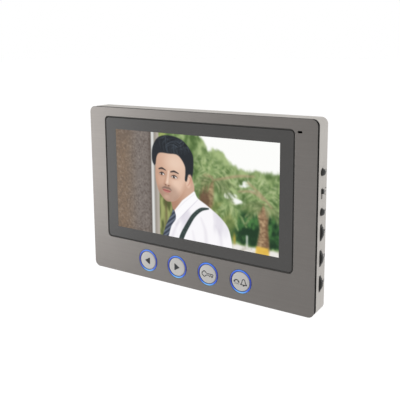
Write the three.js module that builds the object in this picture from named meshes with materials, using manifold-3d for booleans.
// Video intercom monitor: a 7-inch screen in a flat brushed-metal front, four lit push buttons,
// side controls (two push buttons, a slide switch and three thumbwheels), and a steel wall bracket.
// Units are millimetres. +Z is up, the front faces -Y, and the wall is the plane y = 0.
import * as THREE from "three";
import { mergeVertices } from "three/addons/utils/BufferGeometryUtils.js";
import Module from "manifold-3d";

const wasm = await Module();
wasm.setup();

// ---- Driving dimensions -------------------------------------------------------------------------
// Screen, glass and front plate. The plate's size follows from the screen and the borders round it.
const screenWidth = 154.1;
const screenHeight = 85.9;
const maskSide = 10.6; // grey printed border of the glass, left and right
const maskTop = 9.65; // the same, above and below
const glassRadius = 2.7;
const glassThickness = 1.4;
const glassRecess = 0.15; // the glass lies this far behind the plate's face
const grooveWidth = 1.1; // dark groove round the glass
const sideBorder = 17.85; // groove and metal beside the glass
const topBorder = 8.8;
const bottomBorder = 31.5;
const plateRadius = 5;
const plateThickness = 0.6;
const plateBevel = 0.2;

// Depths, measured back from the plate's face.
const trimThickness = 3.6;
const trimInset = 0.15;
const partingDepth = 12.4; // where the front housing meets the rear cover
const bodyDepth = 20.2; // plate's face to the back of the rear cover
const wallGap = 1.8; // rear cover to wall
const partingGap = 0.2;
const wall = 2; // plastic wall
const webThickness = 1.6; // front wall of the housing
const backBevel = 1;
const clearance = 0.3; // between pieces that are fitted by hand
const runningGap = 0.1; // between pieces that slide or turn on each other

// Display module.
const moduleSide = 5.4; // module frame beyond the picture, left and right
const moduleTop = 7; // the same, above and below
const moduleThickness = 5;
const moduleSheet = 0.5;
const cellThickness = 1.3;
const windowMargin = 0.8; // frame opening beyond the picture

// Front buttons.
const buttonCount = 4;
const buttonPitch = 30;
const buttonRise = 15.8; // button centres above the plate's bottom edge
const capRadius = 7.8;
const capProud = 0.4;
const ringWidth = 1.6;
const ringFlange = 1.2;
const capFlange = 0.8;
const capTravel = 0.6;
const stemRadius = 2;
const keySwitchSize = 6;
const keySwitchHeight = 2.4;
const keyPlungerRadius = 1.7;
const keyPlungerRise = 0.7;

// Boards.
const boardThickness = 1.6;
const keyBoardDepth = 10; // front face of the button board
const mainBoardDepth = 10.8;
const mainBoardWidth = 116;
const mainBoardHeight = 70;
const sideBoardDepth = 14;
const sideBoardWidth = 17.5;

// Side controls. Heights are above the plate's bottom edge, depths are behind its face.
const controlDepth = 10.4; // middle of every side control
const sideButtonHeights = [106.9, 77.6];
const sideButtonRadius = 2.6;
const sideButtonProud = 2.3;
const sideButtonTravel = 0.7;
const sideButtonFlange = 0.9;
const slideTopHeight = 94.5; // top end of the slide switch's lever
const leverHeight = 3.4;
const leverWidth = 2.4;
const leverProud = 1.7;
const leverTravel = 3.6;
const wheelCount = 3;
const wheelTopHeight = 62.3; // middle of the uppermost wheel
const wheelRadius = 8.4;
const wheelSpace = 2.6; // between one wheel and the next
const wheelThickness = 3;
const wheelProud = 2.2;
const wheelRidges = 20;
const wheelRidgeDepth = 0.45;
const wheelClearance = 0.4; // between a wheel's rim and its opening
const wheelPinRadius = 1.5;
const potSize = 13;

// Microphone, speaker and screws.
const microphoneInset = 13.15; // from the plate's right edge
const microphoneDrop = 9.5; // from the plate's top edge
const microphoneRadius = 3;
const microphoneSlot = [3.6, 1.5];
const speakerRadius = 15.5;
const speakerInset = 20.5; // from the left side to the speaker's centre
const speakerHeight = 48; // above the plate's bottom edge
const screwRadius = 1.2;
const screwHeadRadius = 2.6;
const screwHeadHeight = 1.6;
const screwLength = 10;
const postRadius = 3;
const screwInset = 8.5; // from a side edge to the screws there
const screwDrop = 6.3; // from the top or bottom edge to the screws there
const upperScrewDrop = 22.75; // from the top edge to the upper side screws

// Wall bracket.
const bracketWidth = 130;
const bracketHeight = 84;
const bracketSheet = 1.2;
const bracketRadius = 6;
const bracketLift = 6; // how far the monitor is lifted before it comes off its hooks
const hookWidth = 8;
const hookRise = 4.2;
const hookColumn = 50; // hooks left and right of the middle
const hookRows = [28, -24];
const screwSlot = [5, 12];
const windowWidth = 70;
const windowRows = [[12, 30], [-30, -9]];
const recessDepth = 3.4;
const recessMargin = 1.5;

// Sockets in the rear cover.
const socketPitch = 22;
const socketRow = -20;
const socketSize = [13, 7.2];
const socketWall = 1.2;
const socketProud = 1.2; // how far the sockets stand out of the recess's floor
const jackRadius = 3.2;

// ---- Derived places -----------------------------------------------------------------------------
const glassWidth = screenWidth + 2 * maskSide;
const glassHeight = screenHeight + 2 * maskTop;
const plateWidth = glassWidth + 2 * sideBorder;
const plateHeight = glassHeight + topBorder + bottomBorder;
const halfWidth = plateWidth / 2;
const halfHeight = plateHeight / 2;
const glassZ = (bottomBorder - topBorder) / 2; // middle of the glass above the middle of the plate
const faceY = -bodyDepth - wallGap;
const trimDepth = plateThickness + trimThickness; // back of the trim, front of the housing
const webDepth = trimDepth + webThickness;
const glassBack = glassRecess + glassThickness;
const ringOuter = capRadius + runningGap * 2 + ringWidth;
const ringInner = capRadius + runningGap * 2;
const ringFlangeRadius = ringOuter + ringFlange;
const buttonZ = buttonRise - halfHeight;
const moduleWidth = screenWidth + 2 * moduleSide;
const moduleHeight = screenHeight + 2 * moduleTop;
const moduleBack = trimDepth + moduleThickness;
const keySwitchFront = keyBoardDepth - keySwitchHeight;
const keyPlungerFront = keySwitchFront - keyPlungerRise;
const ringBack = webDepth - runningGap;
const mainBoardBack = mainBoardDepth + boardThickness;
const recessFloor = bodyDepth - recessDepth; // outer face of the recess's floor
const recessInner = recessFloor - wall;
const backInner = bodyDepth - wall;
const sideBoardRight = halfWidth - wall - clearance * 2;
const sideBoardLeft = sideBoardRight - sideBoardWidth;
const wheelPitch = 2 * wheelRadius + wheelSpace;
const wheelHeights = Array.from({ length: wheelCount }, (_, row) => wheelTopHeight - row * wheelPitch);
const wheelX = halfWidth + wheelProud - wheelRadius;
const wheelFront = controlDepth - wheelThickness / 2;
const wheelBack = controlDepth + wheelThickness / 2;
const potFront = wheelBack + 0.2;
const microphoneX = halfWidth - microphoneInset;
const microphoneZ = halfHeight - microphoneDrop;
const speakerX = speakerInset - halfWidth;
const speakerZ = speakerHeight - halfHeight;
const screwHeadDepth = bodyDepth - wall - screwHeadHeight; // under a screw's head
const heightOnPlate = (height) => height - halfHeight;

const screwPlaces = {
  top: [0, halfHeight - screwDrop],
  bottom: [0, screwDrop - halfHeight],
  upper_left: [screwInset - halfWidth, halfHeight - upperScrewDrop],
  upper_right: [halfWidth - screwInset, halfHeight - upperScrewDrop],
  lower_left: [screwInset - halfWidth, screwDrop - halfHeight],
  lower_right: [halfWidth - screwInset, screwDrop - halfHeight],
};

// Facets round the front buttons, their light rings and the holes that they sit in.
const roundSegments = 20;

// ---- Shape helpers ------------------------------------------------------------------------------
// A closed geometry as a solid that can be joined and cut.
function solid(geometry) {
  const bare = geometry.clone();
  bare.deleteAttribute("normal");
  bare.deleteAttribute("uv");
  const merged = mergeVertices(bare, 1e-4);
  const vertProperties = new Float32Array(merged.attributes.position.array);
  const triVerts = new Uint32Array(merged.index.array);
  return new wasm.Manifold(new wasm.Mesh({ numProp: 3, vertProperties, triVerts }));
}

const cut = (body, cutters) => cutters.reduce((rest, cutter) => rest.subtract(cutter), body);
const join = (bodies) => bodies.reduce((sum, body) => sum.add(body));

// A rectangle with round corners, drawn in the plane of the front.
function roundedRectangle(width, height, radius) {
  const shape = new THREE.Shape();
  const x = width / 2 - radius;
  const y = height / 2 - radius;
  shape.absarc(x, y, radius, 0, Math.PI / 2);
  shape.absarc(-x, y, radius, Math.PI / 2, Math.PI);
  shape.absarc(-x, -y, radius, Math.PI, Math.PI * 1.5);
  shape.absarc(x, -y, radius, Math.PI * 1.5, Math.PI * 2);
  shape.closePath();
  return shape;
}

// A shape extruded from one depth to another, with its own centre at (x, z).
function prism(shape, x, z, depthFront, depthBack, curveSegments = 3) {
  const depth = depthBack - depthFront;
  const geometry = new THREE.ExtrudeGeometry(shape, { depth, bevelEnabled: false, curveSegments });
  geometry.rotateX(Math.PI / 2);
  geometry.translate(x, faceY + depthBack, z);
  return solid(geometry);
}

// A rounded plate whose front edge, back edge or both are bevelled.
function bevelledPlate(width, height, radius, depthFront, depthBack, bevel) {
  const shape = roundedRectangle(width - 2 * bevel, height - 2 * bevel, radius - bevel);
  const geometry = new THREE.ExtrudeGeometry(shape, {
    depth: depthBack - depthFront - 2 * bevel,
    bevelThickness: bevel,
    bevelSize: bevel,
    bevelSegments: 1,
    curveSegments: 4,
  });
  geometry.rotateX(Math.PI / 2);
  geometry.translate(0, faceY + depthBack - bevel, 0);
  return solid(geometry);
}

const roundedBlock = (width, height, radius, x, z, depthFront, depthBack) =>
  prism(roundedRectangle(width, height, radius), x, z, depthFront, depthBack);

// A box given by its limits across, in depth and in height.
function block([left, right], [depthFront, depthBack], [low, high]) {
  const geometry = new THREE.BoxGeometry(right - left, depthBack - depthFront, high - low);
  const y = faceY + (depthFront + depthBack) / 2;
  geometry.translate((left + right) / 2, y, (low + high) / 2);
  return solid(geometry);
}

// A round bar along the depth direction.
function bar(radius, x, z, depthFront, depthBack, segments = 12) {
  const geometry = new THREE.CylinderGeometry(radius, radius, depthBack - depthFront, segments);
  geometry.translate(x, faceY + (depthFront + depthBack) / 2, z);
  return solid(geometry);
}

// A round bar that runs sideways.
function crossBar(radius, left, right, depth, z, segments = 12) {
  const geometry = new THREE.CylinderGeometry(radius, radius, right - left, segments);
  geometry.rotateZ(Math.PI / 2);
  geometry.translate((left + right) / 2, faceY + depth, z);
  return solid(geometry);
}

// A turned piece: [radius, depth] pairs, from the front to the back, round a bar axis at (x, z).
function turned(profile, x, z, segments = 20) {
  const points = profile.map(([radius, depth]) => new THREE.Vector2(radius, faceY + depth));
  const geometry = new THREE.LatheGeometry(points, segments);
  geometry.translate(x, 0, z);
  return solid(geometry);
}

const metal = (color, roughness) => new THREE.MeshStandardMaterial({ color, roughness, metalness: 1 });
const plastic = (color, roughness) =>
  new THREE.MeshStandardMaterial({ color, roughness, metalness: 0 });

const object = new THREE.Group();

function addPiece(name, body, material) {
  const { vertProperties, numProp, numVert, triVerts } = body.getMesh();
  const positions = new Float32Array(numVert * 3);
  for (let i = 0; i < numVert; i++) {
    positions.set(vertProperties.subarray(i * numProp, i * numProp + 3), i * 3);
  }
  const geometry = new THREE.BufferGeometry();
  geometry.setAttribute("position", new THREE.BufferAttribute(positions, 3));
  geometry.setIndex(new THREE.BufferAttribute(new Uint32Array(triVerts), 1));
  geometry.computeVertexNormals();
  const mesh = new THREE.Mesh(geometry, material);
  mesh.name = name;
  object.add(mesh);
}

// ---- Front --------------------------------------------------------------------------------------
const buttonPlaces = Array.from({ length: buttonCount }, (_, index) => [
  (index - (buttonCount - 1) / 2) * buttonPitch,
  buttonZ,
]);
const ringHoles = (depthFront, depthBack, radius) =>
  buttonPlaces.map(([x, z]) => bar(radius, x, z, depthFront, depthBack, roundSegments));

const microphoneHole = () => {
  const [width, height] = microphoneSlot;
  return roundedBlock(width, height, height / 2 - 0.05, microphoneX, microphoneZ, -1, trimDepth + 1);
};

function makeFrontPanel() {
  const plate = bevelledPlate(plateWidth, plateHeight, plateRadius, 0, plateThickness, plateBevel);
  const width = glassWidth + 2 * grooveWidth;
  const height = glassHeight + 2 * grooveWidth;
  const window = roundedBlock(width, height, glassRadius + grooveWidth, 0, glassZ, -1, 2);
  const holes = ringHoles(-1, trimDepth, ringOuter + runningGap);
  addPiece("front_panel", cut(plate, [window, microphoneHole(), ...holes]), metal(0x8f8a86, 0.38));
}

// Black carrier behind the whole plate; it seats the glass and shows as a dark line all round.
function makeFrontTrim() {
  const width = plateWidth - 2 * trimInset;
  const height = plateHeight - 2 * trimInset;
  const radius = plateRadius - trimInset;
  const carrier = roundedBlock(width, height, radius, 0, 0, plateThickness, trimDepth);
  const seatWidth = glassWidth + 2 * clearance;
  const seatHeight = glassHeight + 2 * clearance;
  const seat = roundedBlock(seatWidth, seatHeight, glassRadius, 0, glassZ, 0, glassBack);
  const view = block(
    [-screenWidth / 2 - windowMargin, screenWidth / 2 + windowMargin],
    [0, trimDepth + 1],
    [glassZ - screenHeight / 2 - windowMargin, glassZ + screenHeight / 2 + windowMargin],
  );
  const holes = ringHoles(0, trimDepth + 1, ringOuter + runningGap);
  addPiece("front_trim", cut(carrier, [seat, view, microphoneHole(), ...holes]), plastic(0x2a2b28, 0.6));
}

function makeScreenLens() {
  const lens = roundedBlock(glassWidth, glassHeight, glassRadius, 0, glassZ, glassRecess, glassBack);
  addPiece("screen_lens", lens, plastic(0x4a4a48, 0.1));
}

// ---- Side openings, shared by both halves of the case -------------------------------------------
const slideMiddle = heightOnPlate(slideTopHeight - (leverHeight + leverTravel) / 2);
const slideSlotHeight = leverHeight + leverTravel + 2 * clearance;

function sideOpenings() {
  const buttonHoles = sideButtonHeights.map((height) =>
    crossBar(sideButtonRadius + clearance, halfWidth - wall - 1, halfWidth + 1, controlDepth,
      heightOnPlate(height)),
  );
  const slot = block(
    [halfWidth - wall - 1, halfWidth + 1],
    [controlDepth - leverWidth / 2 - 0.2, controlDepth + leverWidth / 2 + 0.2],
    [slideMiddle - slideSlotHeight / 2, slideMiddle + slideSlotHeight / 2],
  );
  const wheelSlots = wheelHeights.map((height) =>
    bar(wheelRadius + wheelClearance, wheelX, heightOnPlate(height), wheelFront - 0.5, wheelBack + 0.5, 24),
  );
  return [...buttonHoles, slot, ...wheelSlots];
}

// ---- Front housing ------------------------------------------------------------------------------
function makeFrontHousing() {
  const shell = roundedBlock(plateWidth, plateHeight, plateRadius, 0, 0, trimDepth, partingDepth);
  const inside = roundedBlock(
    plateWidth - 2 * wall, plateHeight - 2 * wall, plateRadius - wall,
    0, 0, webDepth, partingDepth + 1,
  );
  const posts = Object.values(screwPlaces).map(([x, z]) => bar(postRadius, x, z, webDepth - 0.5, partingDepth));
  const pilots = Object.values(screwPlaces).map(([x, z]) =>
    bar(screwRadius + 0.15, x, z, trimDepth + 1, partingDepth + 1, 12),
  );
  const moduleWindow = roundedBlock(
    moduleWidth + 2 * clearance, moduleHeight + 2 * clearance, 1, 0, glassZ, 0, webDepth + 1,
  );
  const microphoneTube = bar(microphoneRadius + 2.4, microphoneX, microphoneZ, webDepth - 0.5, webDepth + 2.8);
  const microphoneBore = bar(microphoneRadius + 1.2, microphoneX, microphoneZ, 0, webDepth + 4);
  const keyStakes = keyStakePlaces.flatMap(([x, z]) => [
    bar(2.4, x, z, webDepth - 0.5, keyBoardDepth),
    bar(1, x, z, keyBoardDepth - 0.5, keyBoardDepth + boardThickness + 0.8, 12),
  ]);
  const hollow = cut(shell, [inside, moduleWindow, ...ringHoles(0, webDepth + 1, ringFlangeRadius + 0.2)]);
  const body = join([hollow, ...posts, microphoneTube, ...keyStakes]);
  addPiece("front_housing", cut(body, [...pilots, microphoneBore, ...sideOpenings()]), plastic(0xc4c1bc, 0.42));
}

// ---- Display module -----------------------------------------------------------------------------
function makeDisplay() {
  const frame = block(
    [-moduleWidth / 2, moduleWidth / 2],
    [trimDepth, moduleBack],
    [glassZ - moduleHeight / 2, glassZ + moduleHeight / 2],
  );
  const innerX = moduleWidth / 2 - moduleSheet;
  const innerZ = moduleHeight / 2 - moduleSheet;
  const pocket = block(
    [-innerX, innerX],
    [trimDepth + moduleSheet, moduleBack + 1],
    [glassZ - innerZ, glassZ + innerZ],
  );
  const opening = block(
    [-screenWidth / 2 - 0.4, screenWidth / 2 + 0.4],
    [0, moduleBack],
    [glassZ - screenHeight / 2 - 0.4, glassZ + screenHeight / 2 + 0.4],
  );
  addPiece("display_frame", cut(frame, [pocket, opening]), metal(0xb8b8b8, 0.4));

  const cellX = innerX - clearance;
  const cellZ = innerZ - clearance;
  const cellBack = trimDepth + moduleSheet + cellThickness;
  const layer = (depthFront, depthBack) =>
    block([-cellX, cellX], [depthFront, depthBack], [glassZ - cellZ, glassZ + cellZ]);
  addPiece("display_panel", layer(trimDepth + moduleSheet, cellBack), plastic(0x101214, 0.15));
  addPiece("display_backlight", layer(cellBack, moduleBack), plastic(0xf0f0ea, 0.5));
}

// A short flat cable from the display's back to the main board.
function makeDisplayCable() {
  const cableWidth = 24;
  const cableSheet = 0.3;
  const low = glassZ - moduleHeight / 2 + 14;
  const cable = block(
    [-cableWidth / 2, cableWidth / 2],
    [moduleBack, moduleBack + cableSheet],
    [low, low + 26],
  );
  const riser = block(
    [-cableWidth / 2, cableWidth / 2],
    [moduleBack, mainBoardDepth],
    [low, low + cableSheet],
  );
  addPiece("display_flex_cable", cable.add(riser), plastic(0xb06a2c, 0.5));
}

// ---- Front buttons ------------------------------------------------------------------------------
const buttonNames = ["previous", "next", "unlock", "talk"];
const keyStakePlaces = [
  [-buttonPitch, buttonZ],
  [buttonPitch, buttonZ],
];

function makeFrontButtons() {
  buttonPlaces.forEach(([x, z], index) => {
    const name = buttonNames[index % buttonNames.length];
    const flangeFront = webDepth;
    const flangeBack = webDepth + capFlange;
    const cap = turned([
      [0, -capProud],
      [capRadius - 0.7, -capProud * 0.6],
      [capRadius, 0.25],
      [capRadius, flangeFront],
      [capRadius + 0.8, flangeFront],
      [capRadius + 0.8, flangeBack],
      [stemRadius, flangeBack],
      [stemRadius, keyPlungerFront],
      [0, keyPlungerFront],
    ], x, z, roundSegments);
    addPiece("button_cap_" + name, cap, plastic(0xcdc9c4, 0.35));

    const ring = turned([
      [ringInner, 0],
      [ringOuter, 0],
      [ringOuter, trimDepth],
      [ringFlangeRadius, trimDepth],
      [ringFlangeRadius, ringBack],
      [ringInner, ringBack],
      [ringInner, 0],
    ], x, z, roundSegments);
    addPiece("light_ring_" + name, ring, plastic(0x3f7be8, 0.3));

    const half = keySwitchSize / 2;
    const switchBody = block([x - half, x + half], [keySwitchFront, keyBoardDepth], [z - half, z + half]);
    const bore = bar(keyPlungerRadius + runningGap, x, z, 0, keyBoardDepth - 0.3);
    addPiece("key_switch_" + name, switchBody.subtract(bore), plastic(0x26272a, 0.5));

    const plungerBack = keyBoardDepth - 0.3 - capTravel - 0.1;
    const plunger = bar(keyPlungerRadius, x, z, keyPlungerFront, plungerBack);
    addPiece("key_plunger_" + name, plunger, plastic(0x8a5a3a, 0.5));
  });
}

// ---- Boards -------------------------------------------------------------------------------------
function makeKeyBoard() {
  const halfLength = ((buttonCount - 1) * buttonPitch) / 2 + 12;
  const board = block(
    [-halfLength, halfLength],
    [keyBoardDepth, keyBoardDepth + boardThickness],
    [buttonZ - 5.8, buttonZ + 7.5],
  );
  const holes = keyStakePlaces.map(([x, z]) => bar(1.2, x, z, keyBoardDepth - 1, mainBoardBack + 1, 12));
  addPiece("key_board", cut(board, holes), plastic(0x1f5a34, 0.45));
}

const mainScrewPlaces = {
  left: [6 - mainBoardWidth / 2, 0],
  right: [mainBoardWidth / 2 - 6, 0],
};

function makeMainBoard() {
  const board = block(
    [-mainBoardWidth / 2, mainBoardWidth / 2],
    [mainBoardDepth, mainBoardBack],
    [-mainBoardHeight / 2, mainBoardHeight / 2],
  );
  const processor = block([-7, 7], [mainBoardBack - 0.5, mainBoardBack + 1.2], [4, 18]);
  const memory = block([13, 24], [mainBoardBack - 0.5, mainBoardBack + 1.1], [6, 14]);
  const coil = bar(4, -24, 10, mainBoardBack - 0.5, mainBoardBack + 2);
  const holes = Object.values(mainScrewPlaces).map(([x, z]) =>
    bar(screwRadius + 0.2, x, z, mainBoardDepth - 1, mainBoardBack + 1, 12),
  );
  addPiece("main_board", cut(join([board, processor, memory, coil]), holes), plastic(0x1f5a34, 0.45));
}

const sideStakeX = sideBoardLeft + 3;
const sideStakeHeights = [112, 30];

function makeSideBoard() {
  const [topButton] = sideButtonHeights;
  const lowestWheel = wheelHeights[wheelHeights.length - 1];
  const board = block(
    [sideBoardLeft, sideBoardRight],
    [sideBoardDepth, sideBoardDepth + boardThickness],
    [heightOnPlate(lowestWheel - 8), heightOnPlate(topButton + 8)],
  );
  const holes = sideStakeHeights.map((height) =>
    bar(1.2, sideStakeX, heightOnPlate(height), sideBoardDepth - 1, sideBoardDepth + 3, 12),
  );
  addPiece("side_board", cut(board, holes), plastic(0x1f5a34, 0.45));
}

// ---- Side controls ------------------------------------------------------------------------------
function makeSideButtons() {
  const flangeRight = halfWidth - wall - 0.2;
  const shankLeft = flangeRight - sideButtonFlange - 0.6;
  const switchRight = shankLeft - sideButtonTravel - 0.1;
  ["upper", "lower"].forEach((name, index) => {
    const z = heightOnPlate(sideButtonHeights[index]);
    const points = [
      [0, shankLeft],
      [sideButtonRadius, shankLeft],
      [sideButtonRadius, flangeRight - sideButtonFlange],
      [sideButtonRadius + 0.8, flangeRight - sideButtonFlange],
      [sideButtonRadius + 0.8, flangeRight],
      [sideButtonRadius, flangeRight],
      [sideButtonRadius, halfWidth + sideButtonProud * 0.4],
      [sideButtonRadius * 0.75, halfWidth + sideButtonProud * 0.8],
      [0, halfWidth + sideButtonProud],
    ].map(([radius, x]) => new THREE.Vector2(radius, x));
    const geometry = new THREE.LatheGeometry(points, 16);
    geometry.rotateZ(-Math.PI / 2);
    geometry.translate(0, faceY + controlDepth, z);
    addPiece("side_button_" + name, solid(geometry), plastic(0x1d1e1e, 0.45));

    const switchBody = block(
      [switchRight - 5, switchRight],
      [controlDepth - 2.4, sideBoardDepth],
      [z - 3, z + 3],
    );
    const bore = crossBar(1.4, switchRight - 2.4, switchRight + 1, controlDepth, z);
    addPiece("side_switch_" + name, switchBody.subtract(bore), plastic(0x26272a, 0.5));
    const plunger = crossBar(1.2, switchRight - 1.4, shankLeft, controlDepth, z);
    addPiece("side_plunger_" + name, plunger, plastic(0xd8d6d0, 0.5));
  });
}

function makeSlideSwitch() {
  const leverTop = heightOnPlate(slideTopHeight);
  const bodyRight = halfWidth - wall - clearance;
  const bodyLeft = bodyRight - 7;
  const leverLeft = bodyRight - 3;
  const body = block(
    [bodyLeft, bodyRight],
    [controlDepth - 3, sideBoardDepth],
    [slideMiddle - slideSlotHeight / 2 - 1.5, slideMiddle + slideSlotHeight / 2 + 1.5],
  );
  const track = block(
    [leverLeft - 0.5, bodyRight + 1],
    [controlDepth - leverWidth / 2 - 0.2, controlDepth + leverWidth / 2 + 0.2],
    [slideMiddle - slideSlotHeight / 2, slideMiddle + slideSlotHeight / 2],
  );
  addPiece("slide_switch_body", body.subtract(track), metal(0xa8a8a8, 0.4));
  const lever = block(
    [leverLeft, halfWidth + leverProud],
    [controlDepth - leverWidth / 2, controlDepth + leverWidth / 2],
    [leverTop - leverHeight, leverTop],
  );
  addPiece("slide_switch_lever", lever, plastic(0x1d1e1e, 0.5));
}

// The outline of a knurled wheel: ridge tips at the full radius, with valleys between them.
function knurledOutline(radius, ridges, ridgeDepth) {
  const shape = new THREE.Shape();
  for (let i = 0; i < ridges * 2; i++) {
    const angle = (i * Math.PI) / ridges;
    const reach = i % 2 ? radius - ridgeDepth : radius;
    const point = [reach * Math.cos(angle), reach * Math.sin(angle)];
    if (i) shape.lineTo(...point);
    else shape.moveTo(...point);
  }
  shape.closePath();
  return shape;
}

function makeThumbwheels() {
  ["upper", "middle", "lower"].forEach((name, index) => {
    const z = heightOnPlate(wheelHeights[index]);
    const outline = knurledOutline(wheelRadius, wheelRidges, wheelRidgeDepth);
    const disc = prism(outline, wheelX, z, wheelFront, wheelBack);
    const pin = bar(wheelPinRadius, wheelX, z, wheelBack - 0.5, sideBoardDepth - 0.5);
    addPiece("thumbwheel_" + name, disc.add(pin), plastic(0x1a1b1a, 0.6));

    const half = potSize / 2;
    const body = block([wheelX - half, sideBoardRight], [potFront, sideBoardDepth], [z - half, z + half]);
    const bore = bar(wheelPinRadius + runningGap, wheelX, z, potFront - 1, sideBoardDepth + 1);
    addPiece("potentiometer_" + name, body.subtract(bore), plastic(0x3a2a20, 0.5));
  });
}

// ---- Microphone and speaker ---------------------------------------------------------------------
function makeMicrophone() {
  const bootRadius = microphoneRadius + 1;
  const lip = 1.2;
  const capsuleLength = 2.7;
  const capsuleFront = trimDepth + lip;
  const boot = turned([
    [1, trimDepth],
    [bootRadius, trimDepth],
    [bootRadius, capsuleFront + capsuleLength + 0.8],
    [microphoneRadius + runningGap, capsuleFront + capsuleLength + 0.8],
    [microphoneRadius + runningGap, capsuleFront],
    [1, capsuleFront],
    [1, trimDepth],
  ], microphoneX, microphoneZ, 16);
  addPiece("microphone_boot", boot, plastic(0x202020, 0.9));
  const capsule = bar(microphoneRadius, microphoneX, microphoneZ, capsuleFront, capsuleFront + capsuleLength);
  addPiece("microphone_capsule", capsule, metal(0xb0b0ae, 0.35));
}

const gasketThickness = 1;
const speakerRim = backInner - gasketThickness; // the speaker faces the wall

function makeSpeaker() {
  const neckDepth = speakerRim - 3.8;
  const magnetRadius = 7.5;
  const frame = turned([
    [magnetRadius - 1, neckDepth],
    [magnetRadius + 1, neckDepth],
    [speakerRadius - 1.4, speakerRim - 1],
    [speakerRadius, speakerRim - 1],
    [speakerRadius, speakerRim],
    [speakerRadius - 2, speakerRim],
    [magnetRadius - 1, neckDepth + 0.8],
    [magnetRadius - 1, neckDepth],
  ], speakerX, speakerZ);
  addPiece("speaker_frame", frame, metal(0x9a9a9a, 0.45));
  const cone = turned([
    [0, speakerRim - 1.6],
    [4, speakerRim - 2.2],
    [speakerRadius - 3, speakerRim - 0.4],
    [speakerRadius - 3, speakerRim - 0.1],
    [4, speakerRim - 1.8],
    [0, speakerRim - 1.2],
  ], speakerX, speakerZ);
  addPiece("speaker_cone", cone, plastic(0x18181a, 0.7));
  const magnet = bar(magnetRadius, speakerX, speakerZ, neckDepth - 2.8, neckDepth);
  addPiece("speaker_magnet", magnet, metal(0x6c6c6e, 0.5));
  const gasket = turned([
    [speakerRadius - 2.4, speakerRim],
    [speakerRadius, speakerRim],
    [speakerRadius, backInner],
    [speakerRadius - 2.4, backInner],
    [speakerRadius - 2.4, speakerRim],
  ], speakerX, speakerZ);
  addPiece("speaker_gasket", gasket, plastic(0x141414, 0.95));
}

// Sound holes in rings round the speaker's axis.
function grilleHoles() {
  const holeRadius = 1;
  const ringPitch = 4.2;
  const rings = Math.floor((speakerRadius - 4) / ringPitch);
  const holes = [bar(holeRadius, speakerX, speakerZ, backInner - 1, bodyDepth + 1, 6)];
  for (let ring = 1; ring <= rings; ring++) {
    const count = ring * 6;
    for (let i = 0; i < count; i++) {
      const angle = (i / count) * Math.PI * 2;
      const x = speakerX + ring * ringPitch * Math.cos(angle);
      const z = speakerZ + ring * ringPitch * Math.sin(angle);
      holes.push(bar(holeRadius, x, z, backInner - 1, bodyDepth + 1, 6));
    }
  }
  return holes;
}

// ---- Rear cover ---------------------------------------------------------------------------------
const neckTop = (row) => row + bracketSheet / 2;
const neckBottom = (row) => row - bracketSheet / 2;
const hookPlaces = [-hookColumn, hookColumn].flatMap((x) => hookRows.map((row) => [x, row]));

// The recess leaves room for the bracket, and below it for the lift that frees the hooks.
const recessTop = bracketHeight / 2 + recessMargin;
const recessBottom = -bracketHeight / 2 - bracketLift - recessMargin;
const recessMiddle = (recessTop + recessBottom) / 2;

function makeRearCover() {
  const front = partingDepth + partingGap;
  const outer = bevelledPlate(
    plateWidth, plateHeight, plateRadius, front - backBevel, bodyDepth, backBevel,
  ).subtract(block([-plateWidth, plateWidth], [0, front], [-plateHeight, plateHeight]));
  const inside = roundedBlock(
    plateWidth - 2 * wall, plateHeight - 2 * wall, plateRadius - wall, 0, 0, 0, backInner,
  );
  const recessWidth = bracketWidth + 2 * recessMargin;
  const recessHeight = recessTop - recessBottom;
  const pocket = roundedBlock(
    recessWidth + 2 * wall, recessHeight + 2 * wall, bracketRadius + wall,
    0, recessMiddle, recessInner, bodyDepth - 0.5,
  );
  const recess = roundedBlock(
    recessWidth, recessHeight, bracketRadius, 0, recessMiddle, recessFloor, bodyDepth + 1,
  );
  const bosses = Object.values(screwPlaces).map(([x, z]) =>
    bar(postRadius + 0.8, x, z, partingDepth, backInner + 0.5),
  );
  const shanks = Object.values(screwPlaces).map(([x, z]) =>
    bar(screwRadius + 0.3, x, z, 0, bodyDepth + 1, 12),
  );
  const counterbores = Object.values(screwPlaces).map(([x, z]) =>
    bar(screwHeadRadius + 0.3, x, z, screwHeadDepth, bodyDepth + 1),
  );
  const hookSlots = hookPlaces.map(([x, row]) =>
    block(
      [x - hookWidth / 2 - clearance, x + hookWidth / 2 + clearance],
      [recessInner - 1, recessFloor + 1],
      [neckBottom(row) - bracketLift - 0.4, neckTop(row) + clearance],
    ),
  );
  const speakerWall = bar(speakerRadius + 1.5, speakerX, speakerZ, speakerRim - 1.5, backInner + 0.5, 20)
    .subtract(bar(speakerRadius + clearance, speakerX, speakerZ, 0, backInner, 20));
  const mainPosts = Object.values(mainScrewPlaces).map(([x, z]) =>
    bar(2.75, x, z, mainBoardBack, recessInner + 0.5),
  );
  const mainPilots = Object.values(mainScrewPlaces).map(([x, z]) =>
    bar(screwRadius + 0.15, x, z, 0, recessInner + 1, 12),
  );
  const sideStakes = sideStakeHeights.flatMap((height) => [
    bar(2.2, sideStakeX, heightOnPlate(height), sideBoardDepth + boardThickness, backInner + 0.5),
    bar(1, sideStakeX, heightOnPlate(height), sideBoardDepth - 0.8, backInner, 12),
  ]);
  const body = join([outer.subtract(inside), pocket, ...bosses, speakerWall, ...sideStakes]).subtract(recess);
  const posted = join([body, ...mainPosts]);
  const cutters = [
    ...shanks, ...counterbores, ...hookSlots, ...mainPilots,
    ...grilleHoles(), ...ventSlots(), ...socketOpenings(), ...sideOpenings(),
  ];
  addPiece("rear_cover", cut(posted, cutters), plastic(0xbdbab5, 0.5));
}

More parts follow.
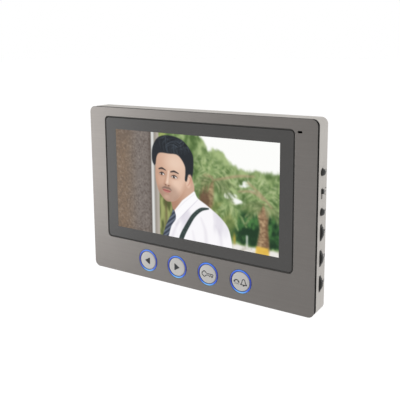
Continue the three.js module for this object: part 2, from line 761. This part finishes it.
// Level air slots beside the recess, behind the side controls.
function ventSlots() {
  const slotCount = 6;
  const slotPitch = 4.4;
  const slotHeight = 1.8;
  const slotWidth = 20;
  return Array.from({ length: slotCount }, (_, index) => {
    const z = (index - (slotCount - 1) / 2) * slotPitch;
    const [left, right] = [-speakerX - slotWidth / 2, -speakerX + slotWidth / 2];
    return block([left, right], [backInner - 1, bodyDepth + 1], [z - slotHeight / 2, z + slotHeight / 2]);
  });
}

// ---- Sockets ------------------------------------------------------------------------------------
const socketBack = recessFloor + socketProud;
const socketPlaces = [-socketPitch, 0, socketPitch];

function socketOpenings() {
  const [width, height] = socketSize;
  return socketPlaces.map((x) =>
    block(
      [x - width / 2 - clearance, x + width / 2 + clearance],
      [recessInner - 1, recessFloor + 1],
      [socketRow - height / 2 - clearance, socketRow + height / 2 + clearance],
    ),
  );
}

function makeSockets() {
  const [width, height] = socketSize;
  const shell = (x) =>
    block(
      [x - width / 2, x + width / 2],
      [mainBoardBack, socketBack],
      [socketRow - height / 2, socketRow + height / 2],
    );
  socketPlaces.slice(0, 2).forEach((x, index) => {
    const cavity = block(
      [x - width / 2 + socketWall, x + width / 2 - socketWall],
      [mainBoardBack + 1, socketBack + 1],
      [socketRow - height / 2 + socketWall, socketRow + height / 2 - socketWall],
    );
    addPiece("door_station_socket_" + (index + 1), shell(x).subtract(cavity), plastic(0xe9e5da, 0.5));
  });
  const jackX = socketPlaces[2];
  const bore = bar(jackRadius, jackX, socketRow, mainBoardBack + 1, socketBack + 1, 24);
  addPiece("power_socket", shell(jackX).subtract(bore), plastic(0x1c1c1c, 0.45));
}

// ---- Screws -------------------------------------------------------------------------------------
// Pan-head screws. A screw's length is its shank; its drive is a cross cut into the head.
function screw(x, z, headDepth, length, headHeight, towardsBack) {
  const side = towardsBack ? 1 : -1;
  const range = (a, b) => [Math.min(a, b), Math.max(a, b)];
  const head = bar(screwHeadRadius, x, z, ...range(headDepth, headDepth + side * headHeight));
  const shank = bar(screwRadius, x, z, ...range(headDepth + side * 0.2, headDepth - side * length), 12);
  const top = headDepth + side * headHeight;
  const drive = [[1.4, 0.3], [0.3, 1.4]].map(([across, up]) =>
    block([x - across, x + across], range(top - side * 0.7, top + side), [z - up, z + up]),
  );
  return cut(head.add(shank), drive);
}

function makeScrews() {
  Object.entries(screwPlaces).forEach(([name, [x, z]]) => {
    const body = screw(x, z, screwHeadDepth, screwLength, screwHeadHeight, true);
    addPiece("case_screw_" + name, body, metal(0x8c8c8c, 0.35));
  });
  Object.entries(mainScrewPlaces).forEach(([name, [x, z]]) => {
    const length = boardThickness + 2.2;
    addPiece("main_board_screw_" + name, screw(x, z, mainBoardDepth, length, 1.2, false), metal(0x8c8c8c, 0.35));
  });
}

// ---- Wall bracket -------------------------------------------------------------------------------
// Pressed steel. Each hook is a tab bent out of the sheet, which leaves a window below it.
function makeWallBracket() {
  const wallDepth = bodyDepth + wallGap;
  const sheetDepth = wallDepth - bracketSheet;
  const sheet = roundedBlock(bracketWidth, bracketHeight, bracketRadius, 0, 0, sheetDepth, wallDepth);
  const hookTip = recessInner - clearance - bracketSheet;
  const hooks = hookPlaces.flatMap(([x, row]) => [
    block([x - hookWidth / 2, x + hookWidth / 2], [hookTip, wallDepth], [neckBottom(row), neckTop(row)]),
    block(
      [x - hookWidth / 2, x + hookWidth / 2],
      [hookTip, hookTip + bracketSheet],
      [neckBottom(row), neckTop(row) + hookRise],
    ),
  ]);
  const tabLength = wallDepth - hookTip + hookRise;
  const tabWindows = hookPlaces.map(([x, row]) =>
    block(
      [x - hookWidth / 2, x + hookWidth / 2],
      [sheetDepth - 1, wallDepth + 1],
      [neckBottom(row) - tabLength, neckBottom(row)],
    ),
  );
  const windows = windowRows.map(([low, high]) =>
    roundedBlock(windowWidth, high - low, 2, 0, (low + high) / 2, sheetDepth - 1, wallDepth + 1),
  );
  const [slotWidth, slotLength] = screwSlot;
  const bandMiddle = (bracketHeight / 2 + windowRows[0][1]) / 2;
  const screwSlots = [
    [slotWidth, slotLength, -hookColumn, 0],
    [slotWidth, slotLength, hookColumn, 0],
    [slotLength, slotWidth, 0, bandMiddle],
    [slotLength, slotWidth, 0, -bandMiddle],
  ].map(([width, height, x, z]) =>
    roundedBlock(width, height, slotWidth / 2 - 0.05, x, z, sheetDepth - 1, wallDepth + 1),
  );
  const body = cut(sheet, [...tabWindows, ...windows, ...screwSlots]);
  addPiece("wall_bracket", join([body, ...hooks]), metal(0xa9abac, 0.45));
}

makeFrontPanel();
makeFrontTrim();
makeScreenLens();
makeFrontHousing();
makeDisplay();
makeDisplayCable();
makeFrontButtons();
makeKeyBoard();
makeMainBoard();
makeSideBoard();
makeSideButtons();
makeSlideSwitch();
makeThumbwheels();
makeMicrophone();
makeSpeaker();
makeRearCover();
makeSockets();
makeScrews();
makeWallBracket();

export default object;
